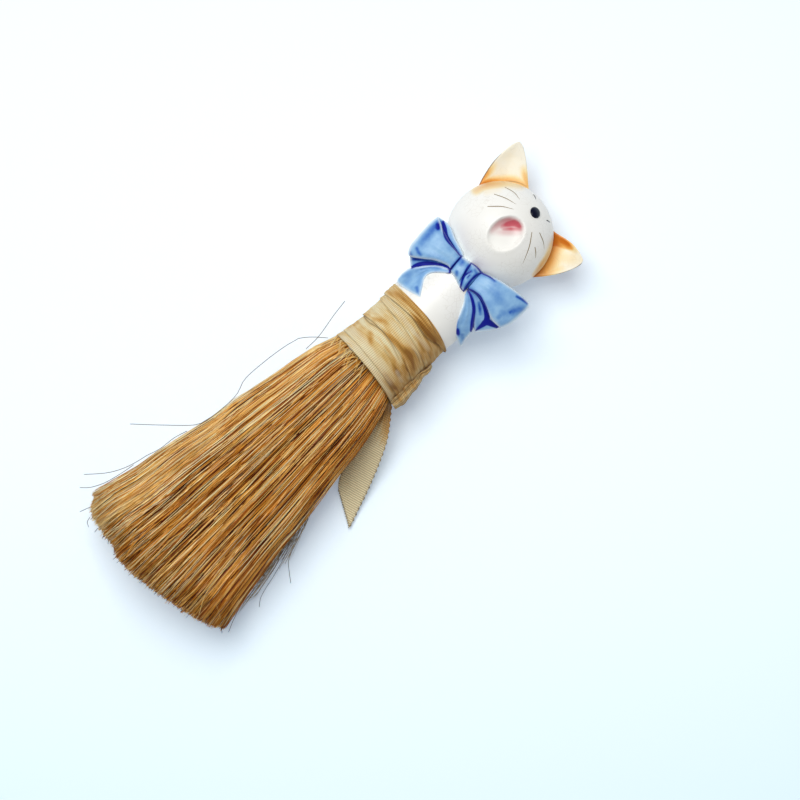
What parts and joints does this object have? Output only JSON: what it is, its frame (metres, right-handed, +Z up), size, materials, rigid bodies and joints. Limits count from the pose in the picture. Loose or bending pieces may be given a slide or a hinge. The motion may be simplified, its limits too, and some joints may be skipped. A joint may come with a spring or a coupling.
{
  "type": "mini whisk broom",
  "caption": "Small hand whisk broom with fanned natural fibres, a ribbon-wound neck and a glazed ceramic kitten bust with a bow as its handle.",
  "frame": {"origin": "middle of the footprint on the table, with the broom lying on its back as pictured", "axes": "+Y from the fibre tips to the kitten's head, +X to the side where the loose ribbon end lies, +Z up off the table, which is the way the kitten's face looks"},
  "size_m": [0.074, 0.1846, 0.0338],
  "materials": {
    "cream_glaze": "glossy off-white glaze over slip-cast earthenware, finely crazed",
    "amber_glaze": "glossy amber underglaze colour sprayed over off-white",
    "blue_glaze": "glossy pale blue glaze, dark blue in the creases",
    "golden_fibre": "dry golden brown plant fibre",
    "beige_ribbon": "matte woven ribbon, aged and stained",
    "binding_steel": "plain drawn wire",
    "hard_glue": "set glue, hidden in the socket"
  },
  "bodies": {
    "broom": {"cat_figure": "cream_glaze", "ear_left": "amber_glaze", "ear_right": "amber_glaze", "bow_knot": "blue_glaze", "bow_loop_left": "blue_glaze", "bow_loop_right": "blue_glaze", "bow_tail_left": "blue_glaze", "bow_tail_right": "blue_glaze", "glue_plug": "hard_glue", "binding_wire": "binding_steel", "ribbon_wrap": "beige_ribbon", "ribbon_fold": "beige_ribbon", "bristles_1": "golden_fibre", "bristles_2": "golden_fibre", "bristles_3": "golden_fibre", "bristles_4": "golden_fibre", "bristles_5": "golden_fibre", "bristles_6": "golden_fibre", "bristles_7": "golden_fibre", "bristles_8": "golden_fibre", "bristles_9": "golden_fibre"},
    "loose_end": {"ribbon_tail": "beige_ribbon"}
  },
  "joints": [
    {"name": "tail_swing", "type": "hinge", "parent": "broom", "child": "loose_end", "pos_m": [0.01758, 0.00343, 0.0151], "axis": [0, 0, 1], "range_deg": [0, 60]}
  ]
}
